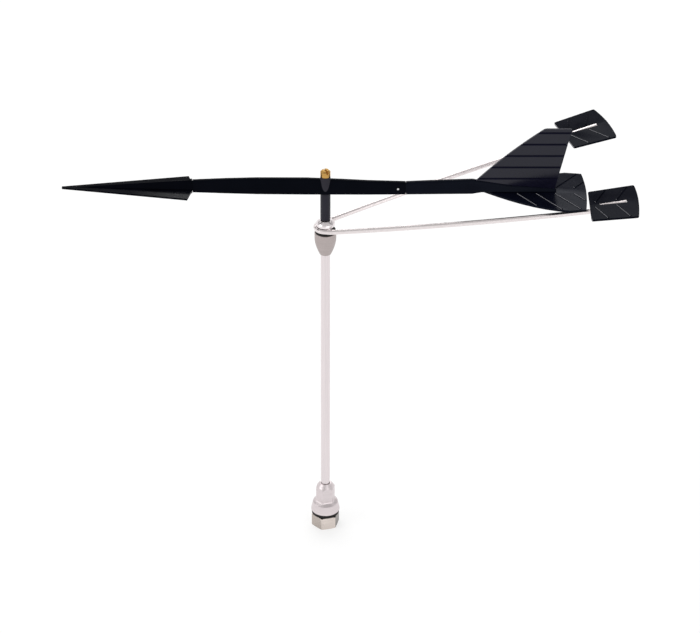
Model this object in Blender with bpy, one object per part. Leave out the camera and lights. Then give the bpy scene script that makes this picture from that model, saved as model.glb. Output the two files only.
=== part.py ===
"""Masthead wind indicator: a vane on a needle bearing over two clamped reference arms.

World frame in metres: origin at the centre of the base nut's underside, +Z up the mast,
+X towards the vane's tail, +Y to the starboard side. Every joint turns about the world Z axis.
All sizes below are in millimetres and are turned into metres where vertices are made.
"""
import math

import bmesh
import bpy
from mathutils import Matrix, Vector
from mathutils.geometry import interpolate_bezier, intersect_line_line_2d

MM = 0.001

# Clearances between pieces that sit together and between pieces that turn
SEAT_GAP = 0.3
RUN_GAP = 0.6

# Edge breaks, and how far a cutter runs past what it cuts
EDGE_BREAK = 0.3
CUT_MARGIN = 2.0

# Base: hex nut, gasket and ferrule with its stud
NUT_ACROSS_FLATS = 19.0
NUT_HEIGHT = 10.6
NUT_CHAMFER = 0.4
NUT_CORNER_ANGLE = -105.0
STUD_RADIUS = 6.0
GASKET_RADIUS = 10.6
GASKET_HEIGHT = 2.7
GASKET_EDGE = 0.35
SKIRT_RADIUS = 11.1
SHOULDER_RADIUS = 9.6
SKIRT_HEIGHT = 7.1
FLARE_HEIGHT = 3.0
FLARE_SHARPNESS = 2.5
BODY_RADIUS = 7.4
BODY_HEIGHT = 10.7
BODY_ACROSS_FLATS = 13.0
NOSE_WALL = 0.6
NOSE_LIP = 0.8
NOSE_HEIGHT = 4.2
ROD_SOCKET_DEPTH = 18.0
SEAL_WIDTH = 0.4
SEAL_HEIGHT = 1.5

# Mast rod and hub
ROD_RADIUS = 3.45
ROD_EXPOSED = 208.4
CUP_HEIGHT = 18.4
CUP_FOOT_WALL = 0.55
CUP_RIM_RADIUS = 8.0
CUP_RIM_HEIGHT = 5.2
CUP_FULLNESS = 1.7
CUP_ROD_DEPTH = 8.0
WASHER_RADIUS = 7.6
WASHER_HEIGHT = 1.4
CLAMP_SHANK_RADIUS = 2.5
CLAMP_SHANK_DEPTH = 8.0
CAP_FOOT_RADIUS = 7.0
CAP_EDGE = 0.7
CAP_TOP_RADIUS = 4.2
CAP_HEIGHT = 4.2

# Reference arms: one bent wire and two tabs
WIRE_RADIUS = 1.9
LOOP_RADIUS = 7.0
ARM_YAW = 8.95
ARM_HALF_ANGLE = 16.6
ARM_SAG = 10.6
ARM_UNDER_WING = 0.8
ARM_RISE_START = 3.0
ARM_STEP = 16.0
PORT_TAB_OUTSIDE_TAIL = 3.3
STARBOARD_TAB_OUTSIDE_TAIL = 8.3
TAB_LENGTH = 35.2
TAB_INNER_WIDTH = 39.2
TAB_OUTER_WIDTH = 43.8
TAB_BULGE = 1.6
TAB_THICKNESS = 1.6
TAB_CORNER = 1.6
TAB_UNDER_GAP = 1.9
JOG_INSET = 1.4
JOG_LENGTH = 6.5
JOG_END_SINK = 1.2
WIRE_END_SINK = 0.6
WIRE_END_INSET = 8.3
TAB_RIB_INSET = 2.6
TAB_RIB_PITCH = 15.2
TAB_RIB_ANGLE = 63.5

# Vane pivot
TUBE_RADIUS = 3.7
TUBE_BORE = 1.6
TUBE_SPIGOT_RADIUS = 2.4
TUBE_SPIGOT_LENGTH = 5.0
TUBE_LENGTH = 22.0
BOSS_RADIUS = 3.7
BOSS_HEIGHT = 13.5
BOSS_DROP = 0.1
BUSH_POCKET_RADIUS = 2.4
SCREW_HEAD_RADIUS = 3.7
SCREW_HEAD_HEIGHT = 4.9
SCREW_HEAD_CHAMFER = 1.3
SCREW_SHANK_LENGTH = 6.5
SCREW_SLOT_WIDTH = 1.4
SCREW_SLOT_DEPTH = 2.2
SCREW_SLOT_ANGLE = -66.0
JEWEL_RADIUS = 1.2
JEWEL_HEIGHT = 2.6
JEWEL_DIMPLE = 1.1
JEWEL_DIMPLE_RADIUS = 0.77
NEEDLE_RADIUS = 1.0
NEEDLE_SEAT_DEPTH = 9.0
NEEDLE_POINT = 4.0
BUSH_HEIGHT = 4.0
RING_WIDTH = 0.5
RING_HEIGHT = 0.7

# Boom, pointer and tail, with heights measured from the boom's axis
TAIL_RADIUS = 188.9
BOOM_FRONT_X = -96.0
BOOM_REAR_X = 58.0
BOOM_BELLY_Z = -5.1
BOOM_HALF_WIDTH = 4.3
SPINE_BELLY_Z = -3.4
# Each section is its top, its bottom and its half width
BOOM_NOSE_SECTION = (5.5, -3.4, 3.7)
TAIL_JOINT_SECTION = (4.0, -4.9, 4.2)
# Each station is its place along X and its section
BOOM_STATIONS = (
    (BOOM_FRONT_X, *BOOM_NOSE_SECTION),
    (-72.0, 6.6, -4.2, 4.0),
    (-50.0, 7.2, -4.8, 4.2),
    (-14.0, 7.1, BOOM_BELLY_Z, BOOM_HALF_WIDTH),
    (13.0, 5.9, BOOM_BELLY_Z, BOOM_HALF_WIDTH),
    (30.0, 4.9, BOOM_BELLY_Z, BOOM_HALF_WIDTH),
    (BOOM_REAR_X, *TAIL_JOINT_SECTION),
)
# One side of the pear-shaped section, from its flat bottom up, as shares of half width and height
SECTION_SHARES = (
    (0.75, 0.0), (0.96, 0.04), (1.0, 0.10), (0.88, 0.23),
    (0.72, 0.46), (0.57, 0.70), (0.42, 0.89), (0.22, 0.98),
)
PLUG_INSET = 0.9
POINTER_PLUG_LENGTH = 4.0
POINTER_LENGTH = 94.4
POINTER_CORNER_SETBACK = 3.2
POINTER_HALF_WIDTH = 16.4
POINTER_PLATE_Z = -1.3
POINTER_PLATE_THICKNESS = 1.4
POINTER_SPINE_TOP = 6.0
POINTER_SPINE_BOTTOM = -3.9
POINTER_SPINE_HALF_WIDTH = 4.5
POINTER_TIP_TOP = -1.2
POINTER_TIP_HALF_WIDTH = 0.8
WEIGHT_RADIUS = 1.4
WEIGHT_LENGTH = 18.5
WEIGHT_DROP = 0.4
TAIL_PLUG_LENGTH = 12.0
PIN_RADIUS = 0.8
PIN_DROP = 0.6
PIN_INSET = 5.5
PIN_HALF_LENGTH = 3.3
WING_THICKNESS = 1.6
WING_LENGTH = 73.9
WING_TIP_SETBACK = 13.7
WING_HALF_SPAN = 27.2
WING_TIP_DROP = 1.7
WING_ROOT_PULL_X = 21.7
WING_ROOT_PULL_Y = 15.2
WING_TIP_PULL_X = 20.5
WING_TIP_PULL_Y = 2.7
FIN_THICKNESS = 1.6
FIN_LEAD = 7.0
FIN_FOOT_Z = 4.0
FIN_ROOT_Z = -1.5
FIN_TOP_CHORD = 19.4
FIN_TOP_SETBACK = 12.5
FIN_TOP_Z = 47.4
FIN_REAR_SETBACK = 22.9
FIN_LEADING_BOW = 2.0
FIN_CORNER = 1.8
FIN_GROOVE_INSET = 3.1
FIN_GROOVE_PITCH = 9.4
FIN_GROOVE_COUNT = 5
FIN_GROOVE_DEPTH = 0.45
WING_RIB_INSET = 20.5
WING_RIB_PITCH = 13.8
WING_RIB_ANGLE = 51.0
WING_RIB_ROOT = 4.2
RIB_WIDTH = 1.0
RIB_HEIGHT = 0.6
RIB_MARGIN = 1.2
PLATE_DROOP_ANGLE = 1.5

# How finely curves are drawn, and the distance under which points are one
ROUND_SEGMENTS = 40
SMALL_SEGMENTS = 24
LOOP_STEPS = 12
CURVE_STEPS = 8
CORNER_STEPS = 4
WIRE_RESOLUTION = 3
GROOVE_RESOLUTION = 6
WELD_DISTANCE = 0.01
SLIVER_LENGTH = 0.001
SMOOTH_ANGLE = math.radians(32.0)

# Sizes that follow from the fits
ROD_SOCKET_RADIUS = ROD_RADIUS + SEAT_GAP
SEAL_SEAT_RADIUS = ROD_SOCKET_RADIUS + SEAL_WIDTH + SEAT_GAP
NOSE_RADIUS = ROD_SOCKET_RADIUS + NOSE_WALL
TAB_LIFT = WIRE_RADIUS + TAB_UNDER_GAP + TAB_THICKNESS / 2.0
CUP_FOOT_RADIUS = ROD_SOCKET_RADIUS + CUP_FOOT_WALL
PORT_TAB_REACH = TAIL_RADIUS + PORT_TAB_OUTSIDE_TAIL
STARBOARD_TAB_REACH = TAIL_RADIUS + STARBOARD_TAB_OUTSIDE_TAIL
PIN_X = BOOM_REAR_X - PIN_INSET
WING_ROOT_X = TAIL_RADIUS - WING_LENGTH
WING_TIP_X = TAIL_RADIUS - WING_TIP_SETBACK
FIN_FRONT_X = WING_ROOT_X - FIN_LEAD
FIN_TOP_REAR_X = TAIL_RADIUS - FIN_TOP_SETBACK
FIN_TOP_FRONT_X = FIN_TOP_REAR_X - FIN_TOP_CHORD
FIN_REAR_X = TAIL_RADIUS - FIN_REAR_SETBACK
# The spine's stations, written like the boom's: its belly steps up just ahead of the wing's root
SPINE_STATIONS = (
    (BOOM_REAR_X + SEAT_GAP, *TAIL_JOINT_SECTION),
    (BOOM_REAR_X + 18.0, 4.9, -4.8, 4.1),
    (WING_ROOT_X - 9.0, 6.1, -4.6, 4.0),
    (WING_ROOT_X - 2.0, 5.2, SPINE_BELLY_Z, 3.7),
    (WING_ROOT_X + 19.0, 1.6, SPINE_BELLY_Z, 3.2),
    (TAIL_RADIUS - 21.9, -1.2, SPINE_BELLY_Z, 2.5),
)

# Heights of the stack, each from the piece below it
GASKET_Z = NUT_HEIGHT + SEAT_GAP
FERRULE_Z = GASKET_Z + GASKET_HEIGHT + SEAT_GAP
SHOULDER_Z = FERRULE_Z + SKIRT_HEIGHT
BODY_Z = SHOULDER_Z + FLARE_HEIGHT
BODY_TOP_Z = BODY_Z + BODY_HEIGHT
NOSE_TOP_Z = BODY_TOP_Z + NOSE_HEIGHT
ROD_FOOT_Z = NOSE_TOP_Z - ROD_SOCKET_DEPTH
CUP_Z = NOSE_TOP_Z + ROD_EXPOSED
ROD_TOP_Z = CUP_Z + CUP_ROD_DEPTH
WASHER_Z = CUP_Z + CUP_HEIGHT + SEAT_GAP
LOOP_Z = WASHER_Z + WASHER_HEIGHT + SEAT_GAP + WIRE_RADIUS
CAP_Z = LOOP_Z + WIRE_RADIUS + SEAT_GAP
CAP_TOP_Z = CAP_Z + CAP_HEIGHT
TUBE_Z = CAP_TOP_Z + RUN_GAP
TUBE_TOP_Z = TUBE_Z + TUBE_LENGTH
BOSS_Z = TUBE_TOP_Z + SEAT_GAP
BOOM_Z = BOSS_Z + BOSS_DROP - BOOM_BELLY_Z
BOSS_TOP_Z = BOSS_Z + BOSS_HEIGHT
BOSS_BORE = TUBE_SPIGOT_RADIUS + SEAT_GAP
SCREW_FOOT_Z = BOSS_TOP_Z + SEAT_GAP - SCREW_SHANK_LENGTH
SCREW_SHANK_RADIUS = BOSS_BORE - SEAT_GAP
JEWEL_Z = SCREW_FOOT_Z + SEAT_GAP
NEEDLE_TIP_Z = JEWEL_Z + JEWEL_DIMPLE - SEAT_GAP
NEEDLE_FOOT_Z = CAP_TOP_Z - NEEDLE_SEAT_DEPTH
BUSH_Z = TUBE_Z + SEAT_GAP
RING_Z = BUSH_Z + BUSH_HEIGHT + SEAT_GAP
WING_TOP_Z = BOOM_Z + SPINE_BELLY_Z - SEAT_GAP
WING_LOW_Z = WING_TOP_Z - WING_THICKNESS
WING_DROOP = WING_HALF_SPAN * math.tan(math.radians(PLATE_DROOP_ANGLE))
ARM_CLIMB = WING_LOW_Z - WING_DROOP - ARM_UNDER_WING - WIRE_RADIUS - LOOP_Z
ARM_RISE = ARM_CLIMB / (TAIL_RADIUS - ARM_RISE_START)


def make_material(name, colour, roughness, metallic):
    """A plain Principled material in the part's colour."""
    material = bpy.data.materials.new(name)
    material.use_nodes = True
    shader = material.node_tree.nodes["Principled BSDF"]
    shader.inputs["Base Color"].default_value = (*colour, 1.0)
    shader.inputs["Roughness"].default_value = roughness
    shader.inputs["Metallic"].default_value = metallic
    return material


def add_object(name, mesh_builder, material, smooth=True):
    """Turn a bmesh into a named object at the world origin, which lies on every joint axis."""
    bmesh.ops.remove_doubles(mesh_builder, verts=mesh_builder.verts, dist=WELD_DISTANCE * MM)
    bmesh.ops.recalc_face_normals(mesh_builder, faces=mesh_builder.faces)
    mesh = bpy.data.meshes.new(name)
    mesh_builder.to_mesh(mesh)
    mesh_builder.free()
    if smooth:
        mesh.shade_smooth()
        mesh.set_sharp_from_angle(angle=SMOOTH_ANGLE)
    item = bpy.data.objects.new(name, mesh)
    if material is not None:
        mesh.materials.append(material)
    bpy.context.scene.collection.objects.link(item)
    return item


def boolean(target, cutter, operation="DIFFERENCE"):
    """Combine a hidden helper object with the target."""
    modifier = target.modifiers.new(cutter.name, "BOOLEAN")
    modifier.operation = operation
    modifier.solver = "EXACT"
    modifier.object = cutter
    cutter.hide_render = True
    cutter.display_type = "WIRE"


def spun(profile, segments=ROUND_SEGMENTS):
    """A closed (radius, height) profile turned once round Z."""
    builder = bmesh.new()
    corners = [builder.verts.new((radius * MM, 0.0, height * MM)) for radius, height in profile]
    edges = [builder.edges.new((corners[i - 1], corners[i])) for i in range(len(corners))]
    bmesh.ops.spin(builder, geom=corners + edges, axis=(0.0, 0.0, 1.0), cent=(0.0, 0.0, 0.0),
                   angle=math.tau, steps=segments, use_merge=True)
    bmesh.ops.remove_doubles(builder, verts=builder.verts, dist=WELD_DISTANCE * MM)
    bmesh.ops.dissolve_degenerate(builder, edges=builder.edges, dist=SLIVER_LENGTH * MM)
    return builder


def tube_profile(outer, inner, low, high):
    """Profile of a plain ring or tube."""
    return [(inner, low), (outer, low), (outer, high), (inner, high)]


def rod_profile(radius, low, high):
    """Profile of a plain solid cylinder."""
    return [(0.0, low), (radius, low), (radius, high), (0.0, high)]


def prism(outline, low, high):
    """A flat (x, y) outline raised from one height to another."""
    builder = bmesh.new()
    face = builder.faces.new([builder.verts.new((x * MM, y * MM, low * MM)) for x, y in outline])
    grown = bmesh.ops.extrude_face_region(builder, geom=[face])
    top = [item for item in grown["geom"] if isinstance(item, bmesh.types.BMVert)]
    bmesh.ops.translate(builder, verts=top, vec=(0.0, 0.0, (high - low) * MM))
    return builder


def droop(builder):
    """Fold a flat plate down to both sides of its middle line along X."""
    parts = builder.verts[:] + builder.edges[:] + builder.faces[:]
    bmesh.ops.bisect_plane(builder, geom=parts, plane_co=(0.0, 0.0, 0.0), plane_no=(0.0, 1.0, 0.0))
    for vertex in builder.verts:
        vertex.co.z -= abs(vertex.co.y) * math.tan(math.radians(PLATE_DROOP_ANGLE))


def loft(rings):
    """Skin a row of equal loops of points and cap both ends."""
    builder = bmesh.new()
    loops = [[builder.verts.new(Vector(point) * MM) for point in ring] for ring in rings]
    count = len(loops[0])
    for first, second in zip(loops, loops[1:]):
        for i in range(count):
            builder.faces.new((first[i - 1], first[i], second[i], second[i - 1]))
    builder.faces.new(loops[0])
    builder.faces.new(loops[-1])
    return builder


def merge(builder, other):
    """Add another bmesh's solid to this one as a separate shell."""
    scratch = bpy.data.meshes.new("scratch")
    other.to_mesh(scratch)
    other.free()
    builder.from_mesh(scratch)
    bpy.data.meshes.remove(scratch)


def block(length, width, height, centre, turn=None):
    """A box, turned first and then set at its centre."""
    builder = bmesh.new()
    bmesh.ops.create_cube(builder, size=MM)
    matrix = Matrix.Translation(Vector(centre) * MM)
    if turn is not None:
        matrix = matrix @ turn
    matrix = matrix @ Matrix.Diagonal((length, width, height, 1.0))
    bmesh.ops.transform(builder, matrix=matrix, verts=builder.verts)
    return builder


def cylinder_x(radius, x_low, x_high, z):
    """A cylinder lying along X at the given height."""
    builder = spun(rod_profile(radius, x_low, x_high), SMALL_SEGMENTS)
    lie_down = Matrix.Translation((0.0, 0.0, z * MM)) @ Matrix.Rotation(math.radians(90.0), 4, "Y")
    bmesh.ops.transform(builder, matrix=lie_down, verts=builder.verts)
    return builder


def cylinder_y(radius, half_length, x, z):
    """A cylinder lying along Y, centred on the vane's middle plane."""
    builder = spun(rod_profile(radius, -half_length, half_length), SMALL_SEGMENTS)
    place = Matrix.Translation((x * MM, 0.0, z * MM)) @ Matrix.Rotation(math.radians(90.0), 4, "X")
    bmesh.ops.transform(builder, matrix=place, verts=builder.verts)
    return builder


def hexagon(across_flats, corner_angle):
    """Corner points of a hexagon."""
    radius = across_flats / math.sqrt(3.0)
    turns = [math.radians(corner_angle + 60.0 * i) for i in range(6)]
    return [(radius * math.cos(turn), radius * math.sin(turn)) for turn in turns]


def rounded(outline, radius, corners):
    """Replace the numbered corners of an outline by curves that start radius away from each."""
    result = []
    for i, corner in enumerate(outline):
        if i not in corners:
            result.append(corner)
            continue
        point = Vector(corner)
        before = (Vector(outline[i - 1]) - point).normalized() * radius
        after = (Vector(outline[(i + 1) % len(outline)]) - point).normalized() * radius
        for step in range(CORNER_STEPS + 1):
            t = step / CORNER_STEPS
            blend = point + before * (1.0 - t) ** 2 + after * t ** 2
            result.append((blend.x, blend.y))
    return result


def build_nut(material):
    """Hex nut: a hexagon trimmed by a chamfered round body and bored for the stud."""
    corner = NUT_ACROSS_FLATS / math.sqrt(3.0) + EDGE_BREAK
    face = NUT_ACROSS_FLATS / 2.0 - EDGE_BREAK
    bore = STUD_RADIUS + SEAT_GAP
    body = prism(hexagon(NUT_ACROSS_FLATS, NUT_CORNER_ANGLE), 0.0, NUT_HEIGHT)
    nut = add_object("base_nut", body, material, smooth=False)
    trim = add_object("nut_trim", spun([
        (bore, 0.0), (face, 0.0), (corner, NUT_CHAMFER), (corner, NUT_HEIGHT - NUT_CHAMFER),
        (face, NUT_HEIGHT), (bore, NUT_HEIGHT)]), None)
    boolean(nut, trim, "INTERSECT")


def build_gasket(material):
    """Rubber gasket between the nut and the ferrule, round the stud."""
    inner = STUD_RADIUS + SEAT_GAP
    top = GASKET_Z + GASKET_HEIGHT
    add_object("base_gasket", spun([
        (inner, GASKET_Z), (GASKET_RADIUS - GASKET_EDGE, GASKET_Z),
        (GASKET_RADIUS, GASKET_Z + GASKET_EDGE), (GASKET_RADIUS, top - GASKET_EDGE),
        (GASKET_RADIUS - GASKET_EDGE, top), (inner, top)]), material)


def build_ferrule(material):
    """Turned ferrule with a conical skirt, a stud below, a rod socket above, and wrench flats.

    The flats run out into the flare above the skirt and end at its shoulder.
    """
    seat_top = NOSE_TOP_Z - NOSE_LIP
    seat_foot = seat_top - SEAL_HEIGHT - 2.0 * SEAT_GAP
    socket_foot = ROD_FOOT_Z - SEAT_GAP
    clear_of_shoulder = 2.0 * (SHOULDER_RADIUS + SEAT_GAP)
    flare = []
    runout = [(clear_of_shoulder, SHOULDER_Z - CUT_MARGIN)]
    for i in range(CURVE_STEPS + 1):
        level = i / CURVE_STEPS
        share = (1.0 - level) ** FLARE_SHARPNESS
        height = SHOULDER_Z + FLARE_HEIGHT * level
        flare.append((BODY_RADIUS + (SHOULDER_RADIUS - BODY_RADIUS) * share, height))
        runout.append((BODY_ACROSS_FLATS + (clear_of_shoulder - BODY_ACROSS_FLATS) * share, height))
    runout.append((BODY_ACROSS_FLATS, NOSE_TOP_Z + 2.0 * CUT_MARGIN))
    ferrule = add_object("base_ferrule", spun(
        [(0.0, 0.0), (STUD_RADIUS, 0.0), (STUD_RADIUS, FERRULE_Z),
         (SKIRT_RADIUS - EDGE_BREAK, FERRULE_Z), (SKIRT_RADIUS, FERRULE_Z + EDGE_BREAK)] + flare + [
            (BODY_RADIUS, BODY_TOP_Z), (NOSE_RADIUS, NOSE_TOP_Z), (ROD_SOCKET_RADIUS, NOSE_TOP_Z),
            (ROD_SOCKET_RADIUS, seat_top), (SEAL_SEAT_RADIUS, seat_top), (SEAL_SEAT_RADIUS, seat_foot),
            (ROD_SOCKET_RADIUS, seat_foot), (ROD_SOCKET_RADIUS, socket_foot), (0.0, socket_foot)]), material)
    core = []
    for across, height in runout:
        core.append([(x, y, height) for x, y in hexagon(across, NUT_CORNER_ANGLE)])
    outer = add_object("flat_cut", spun(rod_profile(
        SKIRT_RADIUS + CUT_MARGIN, SHOULDER_Z, NOSE_TOP_Z + CUT_MARGIN)), None)
    boolean(outer, add_object("flat_core", loft(core), None))
    boolean(ferrule, outer)


def build_mast(metal, rubber):
    """Mast rod, and the rubber ring that seals it under the lip of the ferrule's mouth."""
    add_object("mast_rod", spun([
        (0.0, ROD_FOOT_Z), (ROD_RADIUS, ROD_FOOT_Z), (ROD_RADIUS, ROD_TOP_Z - EDGE_BREAK),
        (ROD_RADIUS - EDGE_BREAK, ROD_TOP_Z), (0.0, ROD_TOP_Z)]), metal)
    high = NOSE_TOP_Z - NOSE_LIP - SEAT_GAP
    add_object("rod_seal", spun(tube_profile(
        ROD_SOCKET_RADIUS + SEAL_WIDTH, ROD_SOCKET_RADIUS, high - SEAL_HEIGHT, high)), rubber)


def build_hub(satin, polished, rubber):
    """Hub cup, its rubber washer, and the domed clamp screw that holds the arms' loop."""
    thread = CLAMP_SHANK_RADIUS + SEAT_GAP
    rim = CUP_Z + CUP_HEIGHT
    lower = CUP_HEIGHT - CUP_RIM_HEIGHT
    flare = CUP_RIM_RADIUS - CUP_FOOT_RADIUS
    side = []
    for i in range(CURVE_STEPS + 1):
        level = i / CURVE_STEPS
        side.append((CUP_FOOT_RADIUS + flare * (1.0 - (1.0 - level) ** CUP_FULLNESS), CUP_Z + lower * level))
    add_object("hub_cup", spun(
        [(ROD_SOCKET_RADIUS, CUP_Z)] + side + [
            (CUP_RIM_RADIUS, rim - EDGE_BREAK), (CUP_RIM_RADIUS - EDGE_BREAK, rim), (thread, rim),
            (thread, ROD_TOP_Z + SEAT_GAP), (ROD_SOCKET_RADIUS, ROD_TOP_Z + SEAT_GAP)]), satin)
    add_object("clamp_washer", spun(tube_profile(
        WASHER_RADIUS, thread, WASHER_Z, WASHER_Z + WASHER_HEIGHT)), rubber)
    neck = LOOP_RADIUS - WIRE_RADIUS - SEAT_GAP
    neck_low = WASHER_Z + WASHER_HEIGHT + SEAT_GAP
    dome_low = CAP_Z + CAP_EDGE
    dome = []
    for i in range(CURVE_STEPS + 1):
        level = i / CURVE_STEPS
        dome.append((CAP_TOP_RADIUS + (CAP_FOOT_RADIUS - CAP_TOP_RADIUS) * (1.0 - level ** 2),
                     dome_low + (CAP_TOP_Z - dome_low) * level))
    needle = NEEDLE_RADIUS + SEAT_GAP
    seat = NEEDLE_FOOT_Z - SEAT_GAP
    add_object("clamp_screw", spun(
        [(0.0, neck_low - CLAMP_SHANK_DEPTH), (CLAMP_SHANK_RADIUS, neck_low - CLAMP_SHANK_DEPTH),
         (CLAMP_SHANK_RADIUS, neck_low), (neck, neck_low), (neck, CAP_Z), (CAP_FOOT_RADIUS, CAP_Z)]
        + dome + [(needle, CAP_TOP_Z), (needle, seat), (0.0, seat)]), polished)


def build_needle(material):
    """Fixed needle with a pointed top, and the ring that keeps the vane from lifting off."""
    add_object("pivot_needle", spun([
        (0.0, NEEDLE_FOOT_Z), (NEEDLE_RADIUS, NEEDLE_FOOT_Z),
        (NEEDLE_RADIUS, NEEDLE_TIP_Z - NEEDLE_POINT), (0.0, NEEDLE_TIP_Z)], SMALL_SEGMENTS), material)
    inner = NEEDLE_RADIUS + SEAT_GAP
    add_object("retaining_ring", spun(tube_profile(
        inner + RING_WIDTH, inner, RING_Z, RING_Z + RING_HEIGHT), SMALL_SEGMENTS), material)


def arm_point(side, reach, lift=0.0):
    """Point on an arm's centre line, a given reach from the mast, before the arms' yaw.

    The arms bend inwards by their sag at the tail's radius.
    """
    half = math.radians(ARM_HALF_ANGLE)
    sag = ARM_SAG * (max(reach, 0.0) / TAIL_RADIUS) ** 2
    across = LOOP_RADIUS / math.cos(half) + reach * math.sin(half) - sag
    rise = ARM_RISE * max(reach - ARM_RISE_START, 0.0)
    return Vector((reach * math.cos(half), side * across, LOOP_Z + rise + lift))


def arm_turn():
    """The arms' yaw about the mast."""
    return Matrix.Rotation(math.radians(ARM_YAW), 4, "Z")


def wire_leg(side, tab_reach):
    """Centre line of one arm from the loop out to its end, which comes up through the tab's plate."""
    jog_start = tab_reach + JOG_INSET
    jog_end = jog_start + JOG_LENGTH
    count = round(tab_reach / ARM_STEP)
    reaches = [ARM_RISE_START / 2.0, ARM_RISE_START]
    reaches += [jog_start * i / count for i in range(1, count + 1)]
    points = [arm_point(side, reach) for reach in reaches]
    points.append(arm_point(side, jog_end, TAB_LIFT - JOG_END_SINK))
    points.append(arm_point(side, tab_reach + TAB_LENGTH - WIRE_END_INSET, TAB_LIFT - WIRE_END_SINK))
    return points


def arm_tube(name, points, radius, resolution):
    """A tube of even radius along a bent line of points on the arms."""
    curve = bpy.data.curves.new(name, "CURVE")
    curve.dimensions = "3D"
    curve.bevel_depth = radius * MM
    curve.bevel_resolution = resolution
    curve.use_fill_caps = True
    spline = curve.splines.new("POLY")
    spline.points.add(len(points) - 1)
    for target, point in zip(spline.points, points):
        target.co = (*(arm_turn() @ point * MM), 1.0)
    return bpy.data.objects.new(name, curve)


def wire_groove(name, side, tab_reach):
    """Cutter round the bent end of a wire, wider than it and run past it by the seat gap."""
    jog, bend, end = wire_leg(side, tab_reach)[-3:]
    end = end + (end - bend).normalized() * SEAT_GAP
    tube = arm_tube(name, [jog, bend, end], WIRE_RADIUS + SEAT_GAP, GROOVE_RESOLUTION)
    builder = bmesh.new()
    builder.from_mesh(tube.to_mesh())
    bpy.data.objects.remove(tube)
    return builder


def build_wire(material):
    """One wire bent round the hub into both arms."""
    half = math.radians(ARM_HALF_ANGLE)
    loop_start = math.pi / 2.0 + half
    loop = []
    for i in range(LOOP_STEPS + 1):
        turn = loop_start + (math.pi - 2.0 * half) * i / LOOP_STEPS
        loop.append(Vector((LOOP_RADIUS * math.cos(turn), LOOP_RADIUS * math.sin(turn), LOOP_Z)))
    starboard = wire_leg(1.0, STARBOARD_TAB_REACH)
    points = starboard[::-1] + loop + wire_leg(-1.0, PORT_TAB_REACH)
    wire = arm_tube("arm_wire", points, WIRE_RADIUS, WIRE_RESOLUTION)
    wire.data.materials.append(material)
    bpy.context.scene.collection.objects.link(wire)


def tab_frame(side, tab_reach):
    """Frame of a tab: x along the arm, y across it, origin at the middle of its plate."""
    near = arm_point(side, tab_reach)
    far = arm_point(side, tab_reach + TAB_LENGTH)
    along = (far - near).normalized()
    across = Vector((0.0, 0.0, 1.0)).cross(along).normalized()
    up = along.cross(across)
    centre = (near + far) / 2.0 + Vector((0.0, 0.0, TAB_LIFT))
    frame = Matrix((along, across, up)).transposed().to_4x4()
    return arm_turn() @ Matrix.Translation(centre * MM) @ frame


def build_tab(name, side, tab_reach, material):
    """Tab plate with a rounded outer edge, a groove that its wire comes up through, and ribs on top."""
    half = TAB_LENGTH / 2.0
    inner = TAB_INNER_WIDTH / 2.0
    outer = TAB_OUTER_WIDTH / 2.0
    outline = [(-half, -inner)]
    for i in range(CURVE_STEPS + 1):
        share = 2.0 * i / CURVE_STEPS - 1.0
        outline.append((half - TAB_BULGE * share ** 2, outer * share))
    outline.append((-half, inner))
    outline = rounded(outline, TAB_CORNER, (0, 1, CURVE_STEPS + 1, CURVE_STEPS + 2))
    plate = prism(outline, -TAB_THICKNESS / 2.0, TAB_THICKNESS / 2.0)
    droop(plate)
    frame = tab_frame(side, tab_reach)
    bmesh.ops.transform(plate, matrix=frame, verts=plate.verts)
    tab = add_object(name, plate, material, smooth=False)
    ribs = rib_rows(outline, TAB_RIB_INSET - half, TAB_RIB_PITCH, TAB_RIB_ANGLE,
                    WIRE_RADIUS + SEAT_GAP + RIB_MARGIN, TAB_THICKNESS / 2.0)
    bmesh.ops.transform(ribs, matrix=frame, verts=ribs.verts)
    boolean(tab, add_object(name + "_ribs", ribs, None, smooth=False), "UNION")
    groove = wire_groove(name + "_groove", side, tab_reach)
    boolean(tab, add_object(name + "_groove", groove, None))


def rib_rows(outline, first_x, pitch, angle, root, level):
    """As many slanted ribs as fit to both sides of a flat plate, from their root to near its edge."""
    ribs = bmesh.new()
    slope = math.radians(angle)
    corners = [Vector(corner) for corner in outline]
    room = max(corner.x for corner in corners) - first_x - root / math.tan(slope) - RIB_MARGIN
    for i in range(1 + int(room / pitch)):
        for hand in (-1.0, 1.0):
            along = Vector((math.cos(slope), hand * math.sin(slope)))
            start = Vector((first_x + i * pitch, 0.0)) + along * root / math.sin(slope)
            far = start + along * TAIL_RADIUS
            sides = zip(corners[-1:] + corners[:-1], corners)
            hits = [intersect_line_line_2d(start, far, first, second) for first, second in sides]
            length = min((hit - start).length for hit in hits if hit is not None) - RIB_MARGIN
            middle = start + along * length / 2.0
            turn = Matrix.Rotation(hand * slope, 4, "Z")
            merge(ribs, block(length, RIB_WIDTH, 2.0 * RIB_HEIGHT, (*middle, level), turn))
    droop(ribs)
    return ribs


def vane_section(x, top, bottom, half_width):
    """Pear-shaped loop across the vane: flat and wide below, narrow and rounded above."""
    height = top - bottom
    half = [(share * half_width, bottom + level * height) for share, level in SECTION_SHARES]
    loop = [(-y, z) for y, z in half[::-1]] + half
    return [(x, y, BOOM_Z + z) for y, z in loop]


def plug(section, inset, x_low, x_high):
    """A straight plug of the vane's section, smaller all round by the inset."""
    top, bottom, half_width = section
    smaller = (top - inset, bottom + inset, half_width - inset)
    return loft([vane_section(x_low, *smaller), vane_section(x_high, *smaller)])


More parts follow.
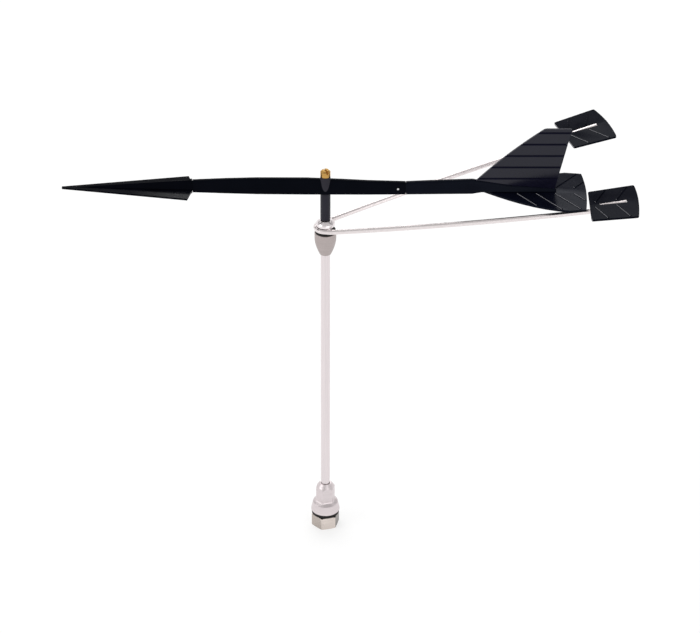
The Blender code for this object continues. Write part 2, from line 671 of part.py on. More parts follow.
def build_boom(material):
    """Boom with a plug for the pointer, a socket for the tail and a bored boss for the pivot."""
    boom = add_object("boom", loft([vane_section(*station) for station in BOOM_STATIONS]), material)
    nose_plug = plug(BOOM_NOSE_SECTION, PLUG_INSET, BOOM_FRONT_X - POINTER_PLUG_LENGTH,
                     BOOM_FRONT_X + CUT_MARGIN)
    boolean(boom, add_object("boom_plug", nose_plug, None), "UNION")
    boolean(boom, add_object("boom_boss", spun(rod_profile(BOSS_RADIUS, BOSS_Z, BOSS_TOP_Z)), None), "UNION")
    cuts = spun(rod_profile(BOSS_BORE, BOSS_Z - CUT_MARGIN, BOSS_TOP_Z + CUT_MARGIN))
    merge(cuts, plug(TAIL_JOINT_SECTION, PLUG_INSET - SEAT_GAP, BOOM_REAR_X - TAIL_PLUG_LENGTH - SEAT_GAP,
                     BOOM_REAR_X + CUT_MARGIN))
    boolean(boom, add_object("boom_cut", cuts, None))
    pin_hole = cylinder_y(PIN_RADIUS + SEAT_GAP, PIN_HALF_LENGTH + CUT_MARGIN, PIN_X, BOOM_Z - PIN_DROP)
    boolean(boom, add_object("boom_pin_cut", pin_hole, None))


def build_pointer(plastic, weight_metal):
    """Arrow pointer: a flat delta with a tapering spine, hollowed for the boom's plug and its weight."""
    rear = BOOM_FRONT_X - SEAT_GAP
    tip = rear - POINTER_LENGTH
    corner = rear - POINTER_CORNER_SETBACK
    outline = [
        (tip, -POINTER_TIP_HALF_WIDTH), (corner, -POINTER_HALF_WIDTH),
        (rear, -POINTER_SPINE_HALF_WIDTH), (rear, POINTER_SPINE_HALF_WIDTH),
        (corner, POINTER_HALF_WIDTH), (tip, POINTER_TIP_HALF_WIDTH)]
    plate_z = BOOM_Z + POINTER_PLATE_Z
    half = POINTER_PLATE_THICKNESS / 2.0
    plate = prism(outline, plate_z - half, plate_z + half)
    droop(plate)
    pointer = add_object("pointer", plate, plastic)
    tip_bottom = POINTER_PLATE_Z - half
    spine = loft([
        vane_section(tip + POINTER_TIP_HALF_WIDTH, POINTER_TIP_TOP, tip_bottom, POINTER_TIP_HALF_WIDTH),
        vane_section(rear, POINTER_SPINE_TOP, POINTER_SPINE_BOTTOM, POINTER_SPINE_HALF_WIDTH)])
    boolean(pointer, add_object("pointer_spine", spine, None), "UNION")
    socket_end = BOOM_FRONT_X - POINTER_PLUG_LENGTH - SEAT_GAP
    socket = plug(BOOM_NOSE_SECTION, PLUG_INSET - SEAT_GAP, socket_end, rear + CUT_MARGIN)
    boolean(pointer, add_object("pointer_socket", socket, None))
    weight_front = socket_end - WEIGHT_LENGTH
    weight_z = BOOM_Z - WEIGHT_DROP
    bore = cylinder_x(WEIGHT_RADIUS + SEAT_GAP, weight_front - SEAT_GAP, rear, weight_z)
    boolean(pointer, add_object("pointer_bore", bore, None))
    add_object("nose_weight", cylinder_x(WEIGHT_RADIUS, weight_front, socket_end, weight_z), weight_metal)


def build_tail_spine(plastic, metal):
    """Tail spine with its plug in the boom and a slot for the fin, and the cross pin of the joint."""
    spine = add_object("tail_spine", loft([vane_section(*station) for station in SPINE_STATIONS]), plastic)
    pin_z = BOOM_Z - PIN_DROP
    tail_plug = plug(
        TAIL_JOINT_SECTION, PLUG_INSET, BOOM_REAR_X - TAIL_PLUG_LENGTH, BOOM_REAR_X + CUT_MARGIN)
    boolean(spine, add_object("tail_plug", tail_plug, None), "UNION")
    boolean(spine, add_object("tail_pin_cut", cylinder_y(
        PIN_RADIUS + SEAT_GAP, PIN_HALF_LENGTH + CUT_MARGIN, PIN_X, pin_z), None))
    slot_front = FIN_FRONT_X - SEAT_GAP
    slot_length = TAIL_RADIUS - slot_front
    slot_low = BOOM_Z + FIN_ROOT_Z - SEAT_GAP
    slot_height = FIN_TOP_Z
    slot = block(slot_length, FIN_THICKNESS + 2.0 * SEAT_GAP, slot_height,
                 (slot_front + slot_length / 2.0, 0.0, slot_low + slot_height / 2.0))
    boolean(spine, add_object("fin_slot_cut", slot, None))
    add_object("tail_pin", cylinder_y(PIN_RADIUS, PIN_HALF_LENGTH, PIN_X, pin_z), metal)


def build_fin(material):
    """Upright fin, swept forward at its foot, with level V-grooves on both faces."""
    foot = Vector((FIN_FRONT_X, FIN_FOOT_Z))
    head = Vector((FIN_TOP_FRONT_X, FIN_TOP_Z))
    chord = (head - foot).normalized()
    outward = Vector((-chord.y, chord.x)) * FIN_LEADING_BOW
    lower = foot.lerp(head, 1.0 / 3.0) + outward
    upper = foot.lerp(head, 2.0 / 3.0) + outward
    edge = interpolate_bezier(foot, lower, upper, head, CURVE_STEPS)
    outline = [(FIN_FRONT_X, FIN_ROOT_Z)] + [(point.x, point.y) for point in edge]
    outline += [(FIN_TOP_REAR_X, FIN_TOP_Z), (FIN_REAR_X, FIN_ROOT_Z)]
    outline = rounded(outline, FIN_CORNER, (len(edge), len(edge) + 1))
    plate = prism(outline, -FIN_THICKNESS / 2.0, FIN_THICKNESS / 2.0)
    stand = Matrix.Translation((0.0, 0.0, BOOM_Z * MM)) @ Matrix.Rotation(math.radians(90.0), 4, "X")
    bmesh.ops.transform(plate, matrix=stand, verts=plate.verts)
    fin = add_object("tail_fin", plate, material, smooth=False)
    grooves = bmesh.new()
    length = FIN_TOP_REAR_X - FIN_FRONT_X + 2.0 * CUT_MARGIN
    middle = (FIN_TOP_REAR_X + FIN_FRONT_X) / 2.0
    side = FIN_GROOVE_DEPTH * math.sqrt(2.0)
    on_edge = Matrix.Rotation(math.radians(45.0), 4, "X")
    for i in range(FIN_GROOVE_COUNT):
        level = BOOM_Z + FIN_TOP_Z - FIN_GROOVE_INSET - i * FIN_GROOVE_PITCH
        for face in (-1.0, 1.0):
            centre = (middle, face * FIN_THICKNESS / 2.0, level)
            merge(grooves, block(length, side, side, centre, on_edge))
    boolean(fin, add_object("fin_grooves", grooves, None, smooth=False))


def build_wing(material):
    """Thin tail wing with a rear edge struck from the pivot and slanted ribs on top."""
    root = Vector((WING_ROOT_X, 0.0))
    tip = Vector((WING_TIP_X, WING_HALF_SPAN))
    root_pull = root + Vector((WING_ROOT_PULL_X, WING_ROOT_PULL_Y))
    tip_pull = tip - Vector((WING_TIP_PULL_X, WING_TIP_PULL_Y))
    lead = interpolate_bezier(root, root_pull, tip_pull, tip, CURVE_STEPS)
    corner_turn = math.asin((WING_HALF_SPAN - WING_TIP_DROP) / TAIL_RADIUS)
    rear = []
    for i in range(CURVE_STEPS + 1):
        turn = corner_turn * (1.0 - i / CURVE_STEPS)
        rear.append((TAIL_RADIUS * math.cos(turn), TAIL_RADIUS * math.sin(turn)))
    starboard = [(point.x, point.y) for point in lead] + rear
    port = [(x, -y) for x, y in starboard[-2:0:-1]]
    outline = starboard + port
    plate = prism(outline, WING_LOW_Z, WING_TOP_Z)
    droop(plate)
    wing = add_object("tail_wing", plate, material, smooth=False)
    ribs = rib_rows(outline, WING_ROOT_X + WING_RIB_INSET, WING_RIB_PITCH, WING_RIB_ANGLE, WING_RIB_ROOT,
                    WING_TOP_Z)
    boolean(wing, add_object("wing_ribs", ribs, None, smooth=False), "UNION")


def build_pivot(plastic, brass, jewel, bush):
    """Spindle tube below the boom, brass bearing screw with its jewel, and the lower guide bush."""
    pocket_top = BUSH_Z + BUSH_HEIGHT + SEAT_GAP + RING_HEIGHT + 2.0 * SEAT_GAP
    add_object("spindle_tube", spun([
        (BUSH_POCKET_RADIUS, TUBE_Z), (TUBE_RADIUS, TUBE_Z), (TUBE_RADIUS, TUBE_TOP_Z),
        (TUBE_SPIGOT_RADIUS, TUBE_TOP_Z), (TUBE_SPIGOT_RADIUS, TUBE_TOP_Z + TUBE_SPIGOT_LENGTH),
        (TUBE_BORE, TUBE_TOP_Z + TUBE_SPIGOT_LENGTH), (TUBE_BORE, pocket_top),
        (BUSH_POCKET_RADIUS, pocket_top)]), plastic)
    head_low = BOSS_TOP_Z + SEAT_GAP
    head_top = head_low + SCREW_HEAD_HEIGHT
    cup = JEWEL_RADIUS + SEAT_GAP
    cup_top = JEWEL_Z + JEWEL_HEIGHT + SEAT_GAP
    screw = add_object("bearing_screw", spun([
        (cup, SCREW_FOOT_Z), (SCREW_SHANK_RADIUS, SCREW_FOOT_Z), (SCREW_SHANK_RADIUS, head_low),
        (SCREW_HEAD_RADIUS, head_low), (SCREW_HEAD_RADIUS, head_top - SCREW_HEAD_CHAMFER),
        (SCREW_HEAD_RADIUS - SCREW_HEAD_CHAMFER, head_top), (0.0, head_top),
        (0.0, cup_top), (cup, cup_top)]), brass)
    slot = block(2.0 * (SCREW_HEAD_RADIUS + CUT_MARGIN), SCREW_SLOT_WIDTH, 2.0 * SCREW_SLOT_DEPTH,
                 (0.0, 0.0, head_top), Matrix.Rotation(math.radians(SCREW_SLOT_ANGLE), 4, "Z"))
    boolean(screw, add_object("screw_slot", slot, None, smooth=False))
    add_object("jewel_cup", spun([
        (JEWEL_DIMPLE_RADIUS, JEWEL_Z), (JEWEL_RADIUS, JEWEL_Z), (JEWEL_RADIUS, JEWEL_Z + JEWEL_HEIGHT),
        (0.0, JEWEL_Z + JEWEL_HEIGHT), (0.0, JEWEL_Z + JEWEL_DIMPLE)], SMALL_SEGMENTS), jewel)
    bush_profile = tube_profile(
        BUSH_POCKET_RADIUS - SEAT_GAP, NEEDLE_RADIUS + SEAT_GAP, BUSH_Z, BUSH_Z + BUSH_HEIGHT)
    add_object("guide_bush", spun(bush_profile, SMALL_SEGMENTS), bush)


def main():
    for item in list(bpy.data.objects):
        bpy.data.objects.remove(item, do_unlink=True)
    nickel = make_material("nickel", (0.60, 0.57, 0.54), 0.25, 1.0)
    ferrule = make_material("ferrule_metal", (0.68, 0.67, 0.66), 0.25, 1.0)
    rod = make_material("anodised_rod", (0.72, 0.72, 0.73), 0.30, 1.0)
    satin = make_material("satin_metal", (0.55, 0.55, 0.56), 0.45, 1.0)
    polished = make_material("polished_metal", (0.75, 0.75, 0.76), 0.15, 1.0)
    wire = make_material("wire_metal", (0.72, 0.72, 0.74), 0.28, 1.0)
    steel = make_material("needle_steel", (0.62, 0.62, 0.64), 0.20, 1.0)
    rubber = make_material("black_rubber", (0.02, 0.02, 0.02), 0.70, 0.0)
    plastic = make_material("black_plastic", (0.015, 0.016, 0.022), 0.30, 0.0)
    tab_plastic = make_material("tab_plastic", (0.018, 0.019, 0.024), 0.35, 0.0)
    tube_plastic = make_material("tube_plastic", (0.035, 0.035, 0.038), 0.40, 0.0)
    brass = make_material("brass", (0.72, 0.50, 0.20), 0.25, 1.0)
    jewel = make_material("jewel", (0.60, 0.08, 0.16), 0.08, 0.0)
    bush = make_material("white_bush", (0.80, 0.80, 0.78), 0.45, 0.0)
    build_nut(nickel)
    build_gasket(rubber)
    build_ferrule(ferrule)
    build_mast(rod, rubber)
    build_hub(satin, polished, rubber)
    build_needle(steel)
    build_wire(wire)
    build_tab("port_tab", -1.0, PORT_TAB_REACH, tab_plastic)
    build_tab("starboard_tab", 1.0, STARBOARD_TAB_REACH, tab_plastic)
    build_boom(plastic)
    build_pointer(plastic, brass)
    build_tail_spine(plastic, steel)
    build_fin(plastic)
    build_wing(plastic)
    build_pivot(tube_plastic, brass, jewel, bush)


main()
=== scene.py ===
"""Look of the masthead wind indicator: materials, a soft studio and the photograph's camera."""
import math

import bpy
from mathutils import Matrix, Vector

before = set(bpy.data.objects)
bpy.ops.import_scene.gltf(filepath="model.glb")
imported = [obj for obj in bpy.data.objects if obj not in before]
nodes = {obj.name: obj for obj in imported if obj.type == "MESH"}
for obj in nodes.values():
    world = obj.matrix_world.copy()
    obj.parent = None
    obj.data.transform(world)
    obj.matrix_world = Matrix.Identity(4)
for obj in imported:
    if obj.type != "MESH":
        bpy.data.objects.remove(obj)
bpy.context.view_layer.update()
scene = bpy.context.scene

# Shading of the solids: points this close are merged, and sharper edges than these stay sharp
WELD = 0.000005
SMOOTH_ANGLE = math.radians(32.0)
FLATS_ANGLE = math.radians(14.0)
FLAT_FACED = ("base_ferrule", "tail_fin")
EDGE_BREAKS = {
    "tail_fin": 0.00022, "tail_wing": 0.00022, "port_tab": 0.00022, "starboard_tab": 0.00022,
    "pointer": 0.00025, "base_nut": 0.00022,
}

# Sizes of the solids that a material follows, in metres
PLATE_DROOP = math.tan(math.radians(1.5))
RIB_SHOWN = 0.0005
RIB_FADE = 0.0001
FIN_GROOVE_INSET = 0.0031
FIN_GROOVE_PITCH = 0.0094
# Distance from a fin groove over which its painted shade fades out
GROOVE_SHADE = (0.0004, 0.0012)
BOSS_EDGE = (0.00374, 0.00388)
# How far the pointer's painted highlight reaches from its rear end, and how fast it fades towards the port
# side
HIGHLIGHT_REACH = (0.045, 0.012)
HIGHLIGHT_FADE = 0.002

# Middle of a noise that is spread over a whole range, and how far gloss varies about its value
NOISE_LOW = 0.3
NOISE_HIGH = 0.7
GLOSSIER = 0.05
DULLER = 0.06

# Noise scales along X, Y and Z, per metre
MOULD_CLOUD = (55.0, 55.0, 55.0)
MOULD_GRAIN = (2600.0, 2600.0, 2600.0)
METAL_CLOUD = (90.0, 90.0, 90.0)
DRAWN_UPRIGHT = (1500.0, 1500.0, 9.0)
DRAWN_WIRE = (700.0, 700.0, 700.0)
TURNED = (30.0, 30.0, 4200.0)
TURNED_BRASS = (40.0, 40.0, 5200.0)
NUT_BLOTCH = (260.0, 260.0, 160.0)
STONE_CLOUD = (900.0, 900.0, 900.0)
RUBBER_CLOUD = (420.0, 420.0, 420.0)
RUBBER_GRAIN = (4200.0, 4200.0, 4200.0)

# Colours that a material shows in places
BLUE_GLOSS = (0.72, 0.82, 1.0, 1.0)
# Pale grey of the rib crests that face forwards: partly wear, partly a painted highlight
RIB_WEAR_AND_HIGHLIGHT = (0.30, 0.30, 0.32)
BOSS_CHARCOAL = (0.040, 0.038, 0.048)
# Colours painted on the nut's faces: painted shade on one side, a dark painted reflection on the other
NUT_SHADED_FACE = (0.36, 0.32, 0.29)
NUT_DARK_REFLECTION = (0.10, 0.088, 0.080)

# Name, dark and light colour, roughness and specular level
PLASTICS = {
    "boom": ("boom_black", (0.0007, 0.0009, 0.0026), (0.0014, 0.0018, 0.0042), 0.38, 0.04),
    "pointer": ("pointer_black", (0.0008, 0.0009, 0.0022), (0.0015, 0.0017, 0.0040), 0.26, 0.03),
    "tail_spine": ("spine_black", (0.0010, 0.0014, 0.0044), (0.0022, 0.0030, 0.0076), 0.32, 0.07),
    "tail_fin": ("fin_navy", (0.0034, 0.0032, 0.0120), (0.0050, 0.0047, 0.0150), 0.30, 0.06),
    "tail_wing": ("wing_black", (0.0024, 0.0030, 0.0080), (0.0036, 0.0044, 0.0110), 0.20, 0.08),
    "tabs": ("tab_black", (0.0018, 0.0022, 0.0058), (0.0030, 0.0036, 0.0084), 0.20, 0.035),
    "tube": ("tube_charcoal", (0.020, 0.018, 0.025), (0.028, 0.026, 0.034), 0.42, 0.18),
    "bush": ("white_bush", (0.66, 0.65, 0.61), (0.78, 0.77, 0.74), 0.40, 0.40),
}

# Name, dark and light colour, roughness, noise scale of its lines and their depth
METALS = {
    "rod": ("anodised_rod", (0.72, 0.66, 0.67), (0.82, 0.75, 0.76), 0.34, DRAWN_UPRIGHT, 0.00002),
    "wire": ("drawn_wire", (0.75, 0.69, 0.69), (0.86, 0.80, 0.80), 0.24, DRAWN_WIRE, 0.00002),
    "cup": ("satin_cup", (0.41, 0.36, 0.35), (0.51, 0.45, 0.44), 0.44, TURNED, 0.00003),
    "cap": ("polished_cap", (0.79, 0.73, 0.74), (0.90, 0.85, 0.86), 0.26, TURNED, 0.00001),
    "ferrule": ("plated_ferrule", (0.62, 0.56, 0.57), (0.76, 0.69, 0.70), 0.36, TURNED, 0.00002),
    "nut": ("nickel_nut", (0.62, 0.55, 0.51), (0.76, 0.68, 0.63), 0.28, TURNED, 0.00002),
    "needle": ("ground_steel", (0.48, 0.48, 0.49), (0.64, 0.64, 0.65), 0.18, TURNED, 0.00001),
    "brass": ("turned_brass", (0.40, 0.21, 0.06), (0.68, 0.42, 0.12), 0.26, TURNED_BRASS, 0.00003),
}

# The material of each node
FINISHES = {
    "base_nut": "nut", "base_gasket": "rubber", "base_ferrule": "ferrule", "rod_seal": "rubber",
    "mast_rod": "rod", "hub_cup": "cup", "clamp_washer": "rubber", "clamp_screw": "cap",
    "pivot_needle": "needle", "retaining_ring": "needle", "arm_wire": "wire", "port_tab": "tabs",
    "starboard_tab": "tabs", "boom": "boom", "pointer": "pointer", "nose_weight": "brass",
    "tail_spine": "tail_spine", "tail_pin": "needle", "tail_fin": "tail_fin", "tail_wing": "tail_wing",
    "spindle_tube": "tube", "bearing_screw": "brass", "jewel_cup": "jewel", "guide_bush": "bush",
}

# Floor: half its side, its grey, and how brightly it shows as the background
FLOOR_HALF = 6.0
FLOOR_GREY = (0.40, 0.40, 0.40, 1.0)
FLOOR_GLOW = 0.62
WHITE = (1.0, 1.0, 1.0, 1.0)

# Brightness of the room by the sine of the elevation, in front of the object and behind it,
# and the stretch of Y over which the one passes into the other
FRONT_SKY = ((0.0, 1.0), (0.30, 0.85), (0.70, 0.60), (1.0, 0.60))
BACK_SKY = ((0.0, 1.0), (0.34, 0.90), (0.42, 0.25), (0.54, 0.25), (0.60, 1.0), (0.85, 1.0), (1.0, 0.60))
SKY_BLEND = (-0.25, 0.45)

# Lamps: name, place, width, height and power
LAMP_AIM = Vector((0.0, 0.0, 0.25))
SOFTBOXES = (
    ("back_softbox", (-0.2, 1.40, 1.85), 2.2, 1.0, 16.0),
    ("left_softbox", (-1.7, -0.7, 1.1), 1.4, 1.2, 7.0),
    ("front_fill", (1.0, -1.9, 0.9), 1.6, 1.2, 6.0),
)

# Camera fitted to the photograph: metres, millimetres for lens and sensor, pixels for the shift
CAMERA_ELEVATION = math.radians(33.0)
CAMERA_DISTANCE = 2.100
CAMERA_AIM_HEIGHT = 0.19168
CAMERA_LENS = 144.93
CAMERA_SENSOR = 36.0
PHOTO_SHIFT = 24.6
PHOTO_WIDTH = 700.0


def colour4(value):
    """A colour with its alpha, or a socket as it is."""
    if isinstance(value, bpy.types.NodeSocket):
        return value
    return (*value, 1.0)


class Shader:
    """Small helper round a material's node tree."""

    def __init__(self, name):
        self.material = bpy.data.materials.new(name)
        self.material.use_nodes = True
        self.tree = self.material.node_tree
        self.principled = self.tree.nodes["Principled BSDF"]
        self.coordinates = self.add("ShaderNodeTexCoord").outputs

    def add(self, kind, **settings):
        node = self.tree.nodes.new(kind)
        for key, value in settings.items():
            setattr(node, key, value)
        return node

    def put(self, socket, value):
        """Connect a node's output, or write a constant on the socket itself."""
        if isinstance(value, bpy.types.NodeSocket):
            self.tree.links.new(value, socket)
        else:
            socket.default_value = value

    def math(self, operation, first, second=0.0):
        node = self.add("ShaderNodeMath", operation=operation)
        self.put(node.inputs[0], first)
        self.put(node.inputs[1], second)
        return node.outputs[0]

    def product(self, first, second):
        return self.math("MULTIPLY", first, second)

    def split(self, vector):
        node = self.add("ShaderNodeSeparateXYZ")
        self.put(node.inputs[0], vector)
        return node.outputs

    def axes(self):
        """The piece's own X, Y and Z in metres."""
        return self.split(self.coordinates["Object"])

    def facing(self):
        """X, Y and Z of the piece's own normal."""
        return self.split(self.coordinates["Normal"])

    def noise(self, scale, detail=4.0, roughness=0.55):
        """Noise with its own scale along each axis."""
        mapping = self.add("ShaderNodeMapping")
        self.put(mapping.inputs["Vector"], self.coordinates["Object"])
        mapping.inputs["Scale"].default_value = scale
        node = self.add("ShaderNodeTexNoise")
        self.put(node.inputs["Vector"], mapping.outputs[0])
        node.inputs["Scale"].default_value = 1.0
        node.inputs["Detail"].default_value = detail
        node.inputs["Roughness"].default_value = roughness
        return node.outputs["Fac"]

    def span(self, value, low, high, out_low, out_high):
        """Map a value from one range to another, clamped."""
        node = self.add("ShaderNodeMapRange")
        self.put(node.inputs["Value"], value)
        node.inputs["From Min"].default_value = low
        node.inputs["From Max"].default_value = high
        node.inputs["To Min"].default_value = out_low
        node.inputs["To Max"].default_value = out_high
        return node.outputs["Result"]

    def spread(self, noise, out_low, out_high):
        """Map the middle of a noise to a range."""
        return self.span(noise, NOISE_LOW, NOISE_HIGH, out_low, out_high)

    def mix(self, factor, first, second):
        """Blend two colours."""
        node = self.add("ShaderNodeMix", data_type="RGBA")
        self.put(node.inputs[0], factor)
        self.put(node.inputs[6], colour4(first))
        self.put(node.inputs[7], colour4(second))
        return node.outputs[2]

    def bump(self, height, strength, distance):
        node = self.add("ShaderNodeBump")
        self.put(node.inputs["Height"], height)
        node.inputs["Strength"].default_value = strength
        node.inputs["Distance"].default_value = distance
        self.put(self.principled.inputs["Normal"], node.outputs[0])

    def set(self, **values):
        for key, value in values.items():
            self.put(self.principled.inputs[key.replace("_", " ")], value)

    def colour(self):
        """The output that colours the surface so far."""
        return self.principled.inputs["Base Color"].links[0].from_socket


def corners(name):
    """Points of a node's mesh."""
    return [vertex.co for vertex in nodes[name].data.vertices]


def moulded(name, dark, light, roughness, specular):
    """Injection-moulded plastic: faint clouding, uneven gloss and a fine spark-eroded grain."""
    shader = Shader(name)
    cloud = shader.noise(MOULD_CLOUD, 5.0, 0.6)
    fine = shader.noise(MOULD_GRAIN, 3.0, 0.6)
    colour = shader.mix(shader.spread(cloud, 0.0, 1.0), dark, light)
    shader.set(Base_Color=colour, Specular_IOR_Level=specular, Specular_Tint=BLUE_GLOSS)
    shader.set(Roughness=shader.spread(cloud, roughness - GLOSSIER, roughness + DULLER))
    shader.bump(fine, 0.12, 0.00004)
    return shader


def drawn_metal(name, dark, light, roughness, scale, depth):
    """Metal with lines from drawing or turning, along the axis with the smallest scale."""
    shader = Shader(name)
    lines = shader.noise(scale, 3.0, 0.6)
    cloud = shader.noise(METAL_CLOUD, 4.0, 0.6)
    colour = shader.mix(shader.spread(lines, 0.0, 1.0), dark, light)
    shader.set(Base_Color=colour, Metallic=1.0)
    shader.set(Roughness=shader.spread(cloud, roughness - GLOSSIER, roughness + DULLER))
    shader.bump(lines, 0.15, depth)
    return shader


def jewel():
    """Polished synthetic bearing stone."""
    shader = Shader("bearing_stone")
    cloud = shader.noise(STONE_CLOUD)
    shader.set(Base_Color=shader.mix(cloud, (0.45, 0.02, 0.08), (0.70, 0.05, 0.16)))
    shader.set(Roughness=0.06, IOR=1.77, Transmission_Weight=0.6)
    return shader


def rubber():
    """Matt black rubber with a dusty bloom."""
    shader = Shader("seal_rubber")
    cloud = shader.noise(RUBBER_CLOUD, 5.0, 0.65)
    fine = shader.noise(RUBBER_GRAIN, 2.0, 0.5)
    shader.set(Base_Color=shader.mix(cloud, (0.004, 0.003, 0.003), (0.012, 0.011, 0.011)))
    shader.set(Roughness=shader.spread(cloud, 0.50, 0.72), Specular_IOR_Level=0.25)
    shader.bump(fine, 0.2, 0.00005)
    return shader


def paint_rib_highlight_and_wear(shader, lowest):
    """Make a plate's ribs pale where they face forwards, above a height at its middle: partly wear, partly
    a painted highlight.
    """
    plate = shader.colour()
    forward = shader.span(shader.facing()["X"], -0.55, -0.35, 1.0, 0.0)
    _, y, z = shader.axes()
    height = shader.math("ADD", z, shader.product(shader.math("ABSOLUTE", y), PLATE_DROOP))
    above = shader.span(height, lowest, lowest + RIB_FADE, 0.0, 1.0)
    shader.set(Base_Color=shader.mix(shader.product(forward, above), plate, RIB_WEAR_AND_HIGHLIGHT))


def colour_boss(shader):
    """Show the pivot boss that stands out of the boom in charcoal, by its distance from the mast's axis."""
    body = shader.colour()
    x, y, _ = shader.axes()
    squares = shader.math("ADD", shader.product(x, x), shader.product(y, y))
    boss = shader.span(shader.math("SQRT", squares), *BOSS_EDGE, 1.0, 0.0)
    shader.set(Base_Color=shader.mix(boss, body, BOSS_CHARCOAL))


def gloss_fin(shader):
    """Give the fin a gloss that stops short of its grooves, so that they stay dark as painted shade."""
    top = max(corner.z for corner in corners("tail_fin"))
    _, _, z = shader.axes()
    below = shader.math("SUBTRACT", top - FIN_GROOVE_INSET, z)
    away = shader.math("PINGPONG", below, FIN_GROOVE_PITCH / 2.0)
    outside_groove_shade = shader.span(away, *GROOVE_SHADE, 0.0, 1.0)
    shader.set(Coat_Weight=shader.product(outside_groove_shade, 0.64), Coat_Roughness=0.20)


def highlight_pointer(shader):
    """Paint a highlight as extra gloss on the pointer's flat plate, towards its rear corner on the port
    side.
    """
    end = max(corner.x for corner in corners("pointer"))
    level = shader.span(shader.facing()["Z"], 0.97, 0.99, 0.0, 1.0)
    x, y, _ = shader.axes()
    rear = shader.span(x, end - HIGHLIGHT_REACH[0], end - HIGHLIGHT_REACH[1], 0.0, 1.0)
    port = shader.span(y, -HIGHLIGHT_FADE, 0.0, 1.0, 0.0)
    shader.set(Coat_Weight=shader.product(shader.product(level, rear), port), Coat_Roughness=0.12)


def shade_nut_faces(shader):
    """Paint shade on the nut's faces towards the pointer, and a dark painted reflection on those towards
    the tail.
    """
    plating = shader.colour()
    along = shader.facing()["X"]
    blotch = shader.span(shader.noise(NUT_BLOTCH), 0.30, 0.55, 0.70, 1.0)
    shaded = shader.mix(shader.span(along, -0.70, -0.50, 0.65, 0.0), plating, NUT_SHADED_FACE)
    dark_reflection = shader.product(shader.span(along, 0.60, 0.85, 0.0, 0.9), blotch)
    shader.set(Base_Color=shader.mix(dark_reflection, shaded, NUT_DARK_REFLECTION))


def make_shaders():
    """One shader for each finish."""
    shaders = {key: moulded(*values) for key, values in PLASTICS.items()}
    shaders.update({key: drawn_metal(*values) for key, values in METALS.items()})
    shaders["rubber"] = rubber()
    shaders["jewel"] = jewel()
    rib_top = max(corner.z + abs(corner.y) * PLATE_DROOP for corner in corners("tail_wing"))
    paint_rib_highlight_and_wear(shaders["tail_wing"], rib_top - RIB_SHOWN)
    paint_rib_highlight_and_wear(shaders["tabs"], 0.0)
    colour_boss(shaders["boom"])
    gloss_fin(shaders["tail_fin"])
    highlight_pointer(shaders["pointer"])
    shade_nut_faces(shaders["nut"])
    return shaders


def smoothing_group(name, sharpest):
    """Node group that shades faces smooth except across edges sharper than the limit."""
    group = bpy.data.node_groups.new(name, "GeometryNodeTree")
    group.interface.new_socket("Geometry", in_out="INPUT", socket_type="NodeSocketGeometry")
    group.interface.new_socket("Geometry", in_out="OUTPUT", socket_type="NodeSocketGeometry")
    entry = group.nodes.new("NodeGroupInput")
    exit_node = group.nodes.new("NodeGroupOutput")
    faces = group.nodes.new("GeometryNodeSetShadeSmooth")
    edges = group.nodes.new("GeometryNodeSetShadeSmooth")
    edges.domain = "EDGE"
    angle = group.nodes.new("GeometryNodeInputMeshEdgeAngle")
    limit = group.nodes.new("FunctionNodeCompare")
    limit.operation = "LESS_THAN"
    limit.inputs[1].default_value = sharpest
    group.links.new(angle.outputs["Unsigned Angle"], limit.inputs[0])
    group.links.new(entry.outputs[0], faces.inputs["Geometry"])
    group.links.new(faces.outputs[0], edges.inputs["Geometry"])
    group.links.new(limit.outputs[0], edges.inputs["Shade Smooth"])
    group.links.new(edges.outputs[0], exit_node.inputs[0])
    return group


def dress_nodes():
    """Give every node its material, broken edges and smooth shading."""
    shaders = make_shaders()
    smooth = smoothing_group("smooth_by_angle", SMOOTH_ANGLE)
    smooth_flats = smoothing_group("smooth_beside_flats", FLATS_ANGLE)
    for name, item in nodes.items():
        item.data.materials.clear()
        item.data.materials.append(shaders[FINISHES[name]].material)
        weld = item.modifiers.new("weld", "WELD")
        weld.merge_threshold = WELD
        if name in EDGE_BREAKS:
            bevel = item.modifiers.new("edge_break", "BEVEL")
            bevel.width = EDGE_BREAKS[name]
            bevel.segments = 1
            bevel.limit_method = "ANGLE"
            bevel.angle_limit = SMOOTH_ANGLE
        shade = item.modifiers.new("smooth", "NODES")
        shade.node_group = smooth_flats if name in FLAT_FACED else smooth


def background_ray(tree):
    """One for rays that show the background: from the camera, or off metal, or through glass."""
    path = tree.nodes.new("ShaderNodeLightPath")
    value = path.outputs["Is Camera Ray"]
    for output in ("Is Glossy Ray", "Is Transmission Ray"):
        node = tree.nodes.new("ShaderNodeMath")
        node.operation = "MAXIMUM"
        tree.links.new(value, node.inputs[0])
        tree.links.new(path.outputs[output], node.inputs[1])
        value = node.outputs[0]
    return value


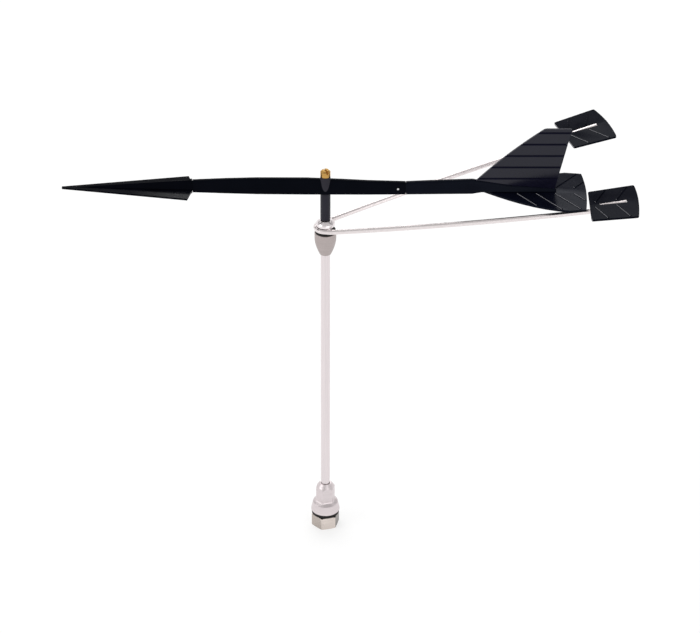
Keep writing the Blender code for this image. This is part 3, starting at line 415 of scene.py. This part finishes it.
def make_floor():
    """White floor: bright to the camera and in reflections, with a soft shadow."""
    mesh = bpy.data.meshes.new("floor")
    low = -FLOOR_HALF
    high = FLOOR_HALF
    points = [(low, low, 0.0), (high, low, 0.0), (high, high, 0.0), (low, high, 0.0)]
    mesh.from_pydata(points, [], [(0, 1, 2, 3)])
    floor = bpy.data.objects.new("floor", mesh)
    scene.collection.objects.link(floor)
    material = bpy.data.materials.new("white_sweep")
    material.use_nodes = True
    tree = material.node_tree
    tree.nodes.clear()
    output = tree.nodes.new("ShaderNodeOutputMaterial")
    diffuse = tree.nodes.new("ShaderNodeBsdfDiffuse")
    diffuse.inputs["Color"].default_value = FLOOR_GREY
    glow = tree.nodes.new("ShaderNodeEmission")
    glow.inputs["Color"].default_value = WHITE
    level = tree.nodes.new("ShaderNodeMath")
    level.operation = "MULTIPLY"
    tree.links.new(background_ray(tree), level.inputs[0])
    level.inputs[1].default_value = FLOOR_GLOW
    tree.links.new(level.outputs[0], glow.inputs["Strength"])
    both = tree.nodes.new("ShaderNodeAddShader")
    tree.links.new(diffuse.outputs[0], both.inputs[0])
    tree.links.new(glow.outputs[0], both.inputs[1])
    tree.links.new(both.outputs[0], output.inputs["Surface"])
    mesh.materials.append(material)


def make_world():
    """A pale room: white at the horizon, with a dimmer band and ceiling to give dark gloss its shape."""
    world = bpy.data.worlds.new("studio")
    scene.world = world
    world.use_nodes = True
    tree = world.node_tree
    background = tree.nodes["Background"]
    direction = tree.nodes.new("ShaderNodeTexCoord").outputs["Generated"]
    split = tree.nodes.new("ShaderNodeSeparateXYZ")
    tree.links.new(direction, split.inputs[0])
    ramps = []
    for stops in (FRONT_SKY, BACK_SKY):
        ramp = tree.nodes.new("ShaderNodeValToRGB")
        elements = ramp.color_ramp.elements
        while len(elements) < len(stops):
            elements.new(1.0)
        for element, (position, level) in zip(elements, stops):
            element.position = position
            element.color = (level, level, level, 1.0)
        tree.links.new(split.outputs["Z"], ramp.inputs[0])
        ramps.append(ramp.outputs["Color"])
    back = tree.nodes.new("ShaderNodeMapRange")
    back.inputs["From Min"].default_value = SKY_BLEND[0]
    back.inputs["From Max"].default_value = SKY_BLEND[1]
    tree.links.new(split.outputs["Y"], back.inputs["Value"])
    blend = tree.nodes.new("ShaderNodeMix")
    blend.data_type = "RGBA"
    tree.links.new(back.outputs["Result"], blend.inputs[0])
    tree.links.new(ramps[0], blend.inputs[6])
    tree.links.new(ramps[1], blend.inputs[7])
    tree.links.new(blend.outputs[2], background.inputs["Color"])
    background.inputs["Strength"].default_value = 1.0


def softbox(name, place, width, height, power):
    """A large area lamp that faces the object."""
    lamp = bpy.data.lights.new(name, "AREA")
    lamp.shape = "RECTANGLE"
    lamp.size = width
    lamp.size_y = height
    lamp.energy = power
    item = bpy.data.objects.new(name, lamp)
    item.location = place
    item.rotation_euler = (Vector(place) - LAMP_AIM).to_track_quat("Z", "Y").to_euler()
    scene.collection.objects.link(item)


def make_camera():
    """The photograph's view: 33 degrees down, from the port side, with a long lens."""
    camera = bpy.data.cameras.new("camera")
    camera.lens = CAMERA_LENS
    camera.sensor_width = CAMERA_SENSOR
    camera.sensor_fit = "HORIZONTAL"
    camera.shift_x = PHOTO_SHIFT / PHOTO_WIDTH
    item = bpy.data.objects.new("camera", camera)
    back = CAMERA_DISTANCE * math.cos(CAMERA_ELEVATION)
    rise = CAMERA_DISTANCE * math.sin(CAMERA_ELEVATION)
    item.location = (0.0, -back, CAMERA_AIM_HEIGHT + rise)
    item.rotation_euler = (math.pi / 2.0 - CAMERA_ELEVATION, 0.0, 0.0)
    scene.collection.objects.link(item)
    scene.camera = item


dress_nodes()
make_floor()
make_world()
for lamp_values in SOFTBOXES:
    softbox(*lamp_values)
make_camera()
scene.view_settings.view_transform = "Standard"
